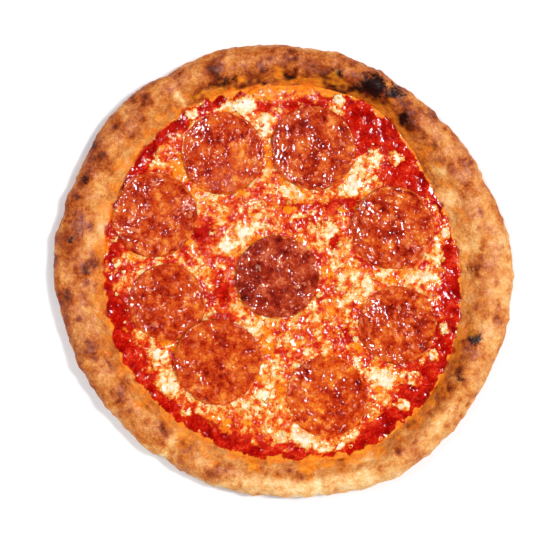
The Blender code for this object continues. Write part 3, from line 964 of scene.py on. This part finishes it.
def press_under_slices(points, height):
    """Lowers the sheet under every slice, and washes it up along the slice's edge."""
    wash = WASH_OVER * np.clip(0.25 + waves(points, *WASH_WAVES), 0, 1)
    for index in range(len(SLICES)):
        past = past_edge(points, index)
        under = slice_floor(points, index) - 0.2
        height = np.minimum(height, height + ease(0.4, -2.0, past) * (under - height))
        height += wash * np.exp(-((past - 0.2) / 1.3) ** 2)
    return height


def cheese_top(points):
    height = RED_LEVEL + WHITE_RISE * curd_plan(points) + 0.35 * ripple(points, 8)
    height = CHEESE_FLOOR + (height - CHEESE_FLOOR) * ease(-0.5, 4.5, cover(points))
    return press_under_slices(points, height)


def cheese_keeps(points):
    return cover(points) > -0.5


cheese_mesh = make_layer(
    "melted_cheese_sheet", CHEESE_PITCH, CHEESE_FLOOR, cheese_keeps, cheese_top,
)
print("highest cheese in mm:", round(float(read_points(cheese_mesh)[:, 2].max()), 1))

# %% [markdown]
# Fat gilds the sheet in three ways, and the strongest counts at each point: in the golden places
# of the list, in small pools that noise scatters, and along the tide line at the rim.

# %% Paint the numbers on the cheese
points = read_points(cheese_mesh)
at_the_rim = 0.9 * ease(-2.5, 0.5, tide(points))
small_pools = 0.75 * ease(0.12, 0.5, ripple(points, 10, 21.4))
store(cheese_mesh, "curd", curd_plan(points))
store(cheese_mesh, "gold", np.max([patches(points, GOLD), at_the_rim, small_pools], axis=0))
store(cheese_mesh, "thin", ease(3.5, -0.5, cover(points)))
print("share of the sheet with small pools:", round(float((small_pools > 0.3).mean()), 2))

# %% The finish of the cheese
CHEESE_COLOURS = [
    (0.00, (178, 24, 10)), (0.18, (206, 46, 16)), (0.36, (222, 92, 28)),
    (0.52, (226, 150, 50)), (0.68, (232, 204, 144)), (1.00, (236, 226, 204)),
]
CHEESE_OIL = seen(250, 158, 22)
cheese, tree, shader, place = new_finish("melted_cheese")
creaminess = mottled(tree, place, painted(tree, "curd"), (2.4, 0.16), (1.1, 0.18), (0.6, 0.08))
thin = maths(tree, "MULTIPLY", painted(tree, "thin"), 0.6)
colour = colour_scale(tree, maths(tree, "SUBTRACT", creaminess, thin), CHEESE_COLOURS)
golden = mottled(tree, place, painted(tree, "gold"), (3.2, 0.34), (1.4, 0.18))
colour, roughness = oiled(tree, place, colour, 0.16, span(tree, golden, 0.28, 0.98), CHEESE_OIL)
feed(tree, shader.inputs["Base Color"], colour)
feed(tree, shader.inputs["Roughness"], roughness)
shine_in_patches(tree, shader, place, 0.12, 0.5)
shader.inputs["Subsurface Weight"].default_value = 0.12
shader.inputs["Subsurface Scale"].default_value = 0.002
roughen(tree, shader, place, (2.3, 0.40))
place_piece(cheese_mesh, cheese, "melted_cheese", "melted_cheese")

# %% [markdown]
# ## Mozzarella blobs
#
# In the open sauce lie soft blobs that never joined the sheet. Each one starts as an icosphere,
# which has even faces and no poles. It is stretched to its own size, flattened underneath where
# it rests, and made lumpy with noise. The plain model's own boxes say where each one lies.

# %% The blobs
BLOB_COUNT = 13


def shape_blob(ball, seed):
    """Makes a ball of radius 1 lumpy, flat below and tall above."""
    flat = ball * (1, 1, 0)
    spread = 1.05 + 0.45 * ripple(flat, 0.9, seed) + 0.25 * ripple(flat, 0.4, seed)
    rise = ball[:, 2]
    swell = np.sign(rise) * np.abs(rise) ** 1.5 * (1 + 0.8 * ripple(flat, 0.5, seed + 0.5))
    height = np.where(rise > 0, 1.6 * swell, 0.3 * swell)
    return np.stack([ball[:, 0] * spread, ball[:, 1] * spread, height], axis=1)


def make_blob(number):
    node = f"mozzarella_blob_{number:02d}"
    low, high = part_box(node)
    middle, half = np.array((low + high) / 2) / MM, np.array((high - low) / 2) / MM
    bm = bmesh.new()
    bmesh.ops.create_icosphere(bm, subdivisions=5, radius=MM)
    mesh = finish_mesh(bm, "soft_" + node)
    ball = read_points(mesh)
    points = shape_blob(ball, number) * half + (middle[0], middle[1], low.z / MM)
    write_points(mesh, points)
    rise = ball[:, 2]
    store(mesh, "curd", 0.70 + 0.75 * ripple(points, 3.0, 2.0) - 0.55 * ease(0.98, 0.2, rise))
    store(mesh, "gold", 0.15 + 0.4 * ripple(points, 5, 4.0))
    store(mesh, "thin", ease(0.35, 0.0, rise))
    place_piece(mesh, cheese, "mozzarella", node)


for number in range(1, BLOB_COUNT + 1):
    make_blob(number)

# %% [markdown]
# ## Crumbs of curd
#
# Small crumbs of cheese lie all over the sauce and the sheet. They are far too many to place by
# hand, so a seeded random draw scatters them, and leaves out any that would land on a slice. One
# icosphere with 80 faces is duplicated until there are enough, which is much quicker than making
# each one, and numpy then gives every copy its own size, turn and place.

# %% One ball, doubled until there are enough
CRUMB_DOUBLINGS = 9
CRUMB_COUNT = 2**CRUMB_DOUBLINGS
bm = bmesh.new()
bmesh.ops.create_icosphere(bm, subdivisions=2, radius=MM)
crumb_points = len(bm.verts)
for _ in range(CRUMB_DOUBLINGS):
    bmesh.ops.duplicate(bm, geom=bm.verts[:] + bm.edges[:] + bm.faces[:])
crumb_mesh = finish_mesh(bm, "curd_crumbs")
balls = read_points(crumb_mesh).reshape(CRUMB_COUNT, crumb_points, 3)
print("crumbs:", CRUMB_COUNT, "of", crumb_points, "points each")

# %% The size and the turn of each crumb
up = balls[:, :, 2]
half = (0.5 + 1.6 * draw.uniform(0, 1, CRUMB_COUNT) ** 4)[:, None]
turn, longer = draw.uniform(0, math.tau, (CRUMB_COUNT, 1)), draw.uniform(1, 1.5, (CRUMB_COUNT, 1))
long_side, short_side = half * longer * balls[:, :, 0], half * balls[:, :, 1]
shifts = np.stack([
    long_side * np.cos(turn) - short_side * np.sin(turn),
    long_side * np.sin(turn) + short_side * np.cos(turn),
    0.55 * half * up - 0.15 * half,
], axis=2)
print("longest crumb in mm:", round(float(2 * (half * longer).max()), 1))

# %% [markdown]
# A place for a crumb is drawn anywhere in the dish. It is kept where it is clear of the slices,
# and only some of those in the open sauce are kept, as most crumbs there sank.

# %% Scatter the crumbs
IN_SAUCE_SHARE = 0.35


def crumb_places():
    """Places on top of the sheet or the sauce, clear of the slices. Fewer lie in the sauce."""
    angle = draw.uniform(0, math.tau, 8 * CRUMB_COUNT)
    radius = np.sqrt(draw.uniform(0, 1, len(angle))) * (inner_radius(angle) - 1)
    tries = np.stack([radius * np.cos(angle), radius * np.sin(angle), 0 * angle], axis=1)
    chance = np.where(cover(tries) > 0, 1, IN_SAUCE_SHARE)
    clear = [np.hypot(tries[:, 0] - x, tries[:, 1] - y) > wide - 1 for x, y, wide, *_ in SLICES]
    wanted = np.all(clear, axis=0) & (draw.uniform(0, 1, len(angle)) < chance)
    places = tries[wanted][:CRUMB_COUNT]
    places[:, 2] = np.where(cover(places) > 0, cheese_top(places), sauce_top(places))
    return places


places = crumb_places()
points = (places[:, None, :] + shifts).reshape(-1, 3)
points += 1.2 * (half[:, None] * balls).reshape(-1, 3) * ripple(points, 1.5)[:, None]
write_points(crumb_mesh, points)
in_sauce = (cover(places) < 0)[:, None]
print("crumbs in the open sauce:", int(in_sauce.sum()))

# %% [markdown]
# A crumb is palest on top, and the ones in the sauce have soaked up some of its red.

# %% Paint the crumbs
shade = draw.uniform(0.30, 0.70, (CRUMB_COUNT, 1)) - (0.10 + 0.30 * in_sauce) * ease(0.95, 0.0, up)
shade -= 0.25 * in_sauce
store(crumb_mesh, "curd", shade.ravel() + 0.25 * ripple(points, 1.6, 8.3))
store(crumb_mesh, "gold", 0.3 * ripple(points, 9, 4.0))
store(crumb_mesh, "thin", 0 * points[:, 0])
place_piece(crumb_mesh, cheese, "melted_cheese")

# %% [markdown]
# ## The pepperoni
#
# A slice of pepperoni is thin and floppy. In the oven its edge curls up, its fat melts into
# orange oil, and the meat shrinks into a bumpy, shiny face with pale flecks. Each slice is a
# turned disc, like the dough, moved out to its own uneven edge and laid on its own leaning plane.
# A slice that would reach into the rim is squeezed back inside it.

# %% The outline of a slice
SLICE_THICKNESS, SLICE_RINGS = 1.6, 50


def slice_profile(wide):
    """Half a slice's cross-section, from the middle below, round the edge, to the middle on top."""
    edge = [(0.97 * wide, 0), (wide, 0.3 * SLICE_THICKNESS), (0.985 * wide, 0.75 * SLICE_THICKNESS)]
    steps = range(SLICE_RINGS, -1, -1)
    face = [(0.95 * wide * step / SLICE_RINGS, SLICE_THICKNESS) for step in steps]
    return [(0, 0), (0.6 * wide, 0), *edge, *face]


def lay_slice(index, flat):
    """The points of a turned disc, moved to the slice's place and out to its uneven edge."""
    x, y, wide, *_ = SLICES[index]
    spread = slice_edge(index, polar(flat)[0]) / wide
    points = flat * (spread[:, None] ** (1, 1, 0)) + (x, y, 0)
    angle, radius = polar(points)
    points[:, :2] *= np.minimum(1, (inner_radius(angle) - 0.6) / radius)[:, None]
    return points


print("rings of faces on top of a slice:", SLICE_RINGS)

# %% [markdown]
# The meat is ground, so it has grains of two sizes. They come from the same rounded cells as the
# curds, only smaller, so each grain is a pair of numbers: how near a point is to the middle of its
# cell, and the cell's luck. The middles of the luckiest cells are flecks of fat.

# %% Bumps, flecks of fat and grain
COARSE_GRAIN, FINE_GRAIN = 3.4, 1.9
TONE = [0.35, 0.50, 0.45, 0.40, 0.95, 0.35, 0.35, 0.35, 0.20]
PALE = [0.35, 0.35, 0.45, 0.55, 0.40, 0.40, 0.60, 0.30, 0.45]


def slice_bumps(points, seed, coarse, fine):
    """The height of the bumps on top of a slice, in mm."""
    bumps = 0.22 * (coarse[0] - 0.5) + 0.10 * (fine[0] - 0.5)
    return bumps + waves(points, (0.7, 11, seed), (0.35, 5, 0.0))


def slice_fat(pale, coarse, fine):
    """How fatty each point is: 1 on a fleck, and more flecks in a paler slice."""
    flecks = ease(0.42, 0.6, coarse[0]) * ease(0.78, 0.95, coarse[1] + 0.3 * pale - 0.15)
    specks = ease(0.4, 0.6, fine[0]) * ease(0.8, 0.95, fine[1] + 0.25 * pale - 0.15)
    return np.maximum(flecks, 0.8 * specks)


def slice_meat(points, seed, coarse, fine):
    """How light the meat is: grainy, and blotched where it baked more."""
    grain = 0.25 * (coarse[1] - 0.5) * ease(0.3, 0.5, coarse[0]) + 0.25 * (fine[1] - 0.5)
    return 0.5 + grain + waves(points, (0.44, 8, seed), (0.30, 4, seed))


print("slices by how dark they baked, from 0 to 1:", TONE)

# %% [markdown]
# The slices curl up a little, more in some places round the edge than in others. Each one also
# sinks into the cheese. Oil gathers on the side that faces away from the window.

# %% The shape and the painted numbers of a slice
SLICE_STEPS, SLICE_CUTS = 34, 4
SLICE_CUP, SLICE_SINK = 1.5, 0.7
WET_SIDE = math.radians(165)


def make_slice(index):
    wide, seed = SLICES[index][2], slice_seed(index)
    name = f"sliced_pepperoni_{index + 1}"
    mesh = turn_profile(name, slice_profile(wide), SLICE_STEPS, SLICE_CUTS)
    flat = read_points(mesh)
    angle, radius = polar(flat)
    share = radius / wide
    points = lay_slice(index, flat)
    coarse, fine = curds(points, COARSE_GRAIN, seed), curds(points, FINE_GRAIN, seed + 5)
    top = ease(0.6, 0.95, flat[:, 2] / SLICE_THICKNESS)
    bumps = top * slice_bumps(points, seed, coarse, fine)
    curl = share**5 * (0.25 + 0.9 * np.abs(ring_noise(angle, 6, seed + 1)))
    points[:, 2] += SLICE_CUP * curl + bumps + slice_floor(points, index) - SLICE_SINK
    write_points(mesh, points)
    store(mesh, "fat", slice_fat(PALE[index], coarse, fine))
    store(mesh, "meat", slice_meat(points, seed, coarse, fine))
    store(mesh, "tone", 0 * share + TONE[index])
    store(mesh, "edge", ease(0.90, 0.98, share))
    store(mesh, "wet", 0.7 * ease(0.1, 0.9, np.cos(angle - WET_SIDE)) * ease(0.45, 0.75, share))
    return mesh


# %% The finish of the pepperoni
BRIGHT_MEAT = [
    (0.00, (124, 14, 2)), (0.30, (176, 38, 6)), (0.55, (206, 70, 14)),
    (0.80, (224, 106, 24)), (1.00, (240, 152, 44)),
]
DARK_MEAT = [
    (0.00, (84, 12, 8)), (0.35, (134, 30, 16)), (0.65, (170, 58, 30)), (1.00, (200, 98, 62)),
]
FAT, FRAYED_EDGE = seen(232, 144, 96), seen(228, 116, 42)
sausage, tree, shader, place = new_finish("cured_sausage")
meat = mottled(tree, place, painted(tree, "meat"), (3.2, 0.16), (1.3, 0.18), (0.8, 0.12))
bright, dark = colour_scale(tree, meat, BRIGHT_MEAT), colour_scale(tree, meat, DARK_MEAT)
colour = blend(tree, painted(tree, "tone"), bright, dark)
fleck = span(tree, mottled(tree, place, painted(tree, "fat"), (1.3, 0.14)), 0.35, 0.9)
colour = blend(tree, maths(tree, "MULTIPLY", fleck, 0.4), colour, FAT)
frayed = mottled(tree, place, painted(tree, "edge"), (7.0, 0.5), (2.0, 0.3))
frayed = maths(tree, "MULTIPLY", span(tree, frayed, 0.8, 1.3), 0.85)
feed(tree, shader.inputs["Base Color"], blend(tree, frayed, colour, FRAYED_EDGE))
shader.inputs["Roughness"].default_value = 0.12
pooled = maths(tree, "MULTIPLY_ADD", painted(tree, "edge"), -0.5, painted(tree, "wet"))
shine_in_patches(tree, shader, place, 0.06, 0.44, pooled)
roughen(tree, shader, place, (2.2, 0.44))
for index in range(len(SLICES)):
    place_piece(make_slice(index), sausage, "pepperoni", f"pepperoni_{index + 1}")

# %% [markdown]
# ## Floor, light and camera
#
# A photo needs a floor, light and a camera. None of them is part of the pizza, so the floor is
# not attached to it. It lies a tenth of a millimetre lower than the pizza, because two faces in
# one place would flicker.

# %% The floor
bm = bmesh.new()
just_below = Matrix.Translation((0, 0, -0.1 * MM))
bmesh.ops.create_grid(bm, x_segments=1, y_segments=1, size=3.0, matrix=just_below)
floor_mesh = finish_mesh(bm, "pale_floor")
floor_finish, tree, shader, place = new_finish("pale_floor")
shader.inputs["Base Color"].default_value = (0.86, 0.86, 0.88, 1.0)
shader.inputs["Roughness"].default_value = 0.6
floor_mesh.materials.append(floor_finish)
floor = bpy.data.objects.new("pale_floor", floor_mesh)
bpy.context.scene.collection.objects.link(floor)
print("floor faces:", len(floor_mesh.polygons))

# %% [markdown]
# Food like this is shot from straight above in bright, soft light. The two windows stand to the
# sides, because straight overhead they would lay a pale haze over every wet surface. Beside them
# are two glint lights that shine only in reflections, for sharp sparks on the oil. Two broad
# fills and the pale room soften the shadows, and are kept out of reflections, again for the haze.

# %% The lights and the room
def softbox(name, location, size, power, diffuse=True, glossy=True):
    """An area light that faces the pizza. It can be kept off dull colour, or out of reflections."""
    light = bpy.data.lights.new(name, "AREA")
    light.size = size
    light.energy = power
    lamp = bpy.data.objects.new(name, light)
    lamp.location = location
    lamp.rotation_euler = (-Vector(location)).to_track_quat("-Z", "Y").to_euler()
    lamp.visible_diffuse = diffuse
    lamp.visible_glossy = glossy
    bpy.context.scene.collection.objects.link(lamp)


softbox("window_right", (1.20, 0.30, 1.90), 0.36, 33)
softbox("window_left", (-0.95, 0.75, 1.90), 0.20, 8)
softbox("glint_right", (1.05, 0.45, 1.90), 0.36, 56, diffuse=False)
softbox("glint_left", (-0.85, 0.55, 1.90), 0.22, 20, diffuse=False)
softbox("fill_left", (-1.00, 0.50, 1.20), 1.20, 7, glossy=False)
softbox("fill_front", (0.20, -1.20, 1.20), 1.20, 9, glossy=False)
world = bpy.data.worlds.new("pale_room")
world.use_nodes = True
room = world.node_tree.nodes["Background"]
room.inputs["Color"].default_value = (0.95, 0.97, 1.0, 1.0)
room.inputs["Strength"].default_value = 0.30
world.cycles_visibility.glossy = False
bpy.context.scene.world = world
bpy.context.scene.view_settings.view_transform = "Standard"
print("lights:", [light.name for light in bpy.data.lights])

# %% [markdown]
# The camera hangs straight above, a little to one side, so that the pizza sits in the frame
# where it does in the photo. A long lens keeps the rim from leaning outwards.

# %% The camera
camera = bpy.data.cameras.new("straight_above")
camera.lens = 85
camera.sensor_width = 36
camera_object = bpy.data.objects.new("straight_above", camera)
camera_object.location = (-5.6 * MM, -2.3 * MM, 0.856)
bpy.context.scene.collection.objects.link(camera_object)
bpy.context.scene.camera = camera_object
print("camera height in mm:", round(camera_object.location.z / MM))
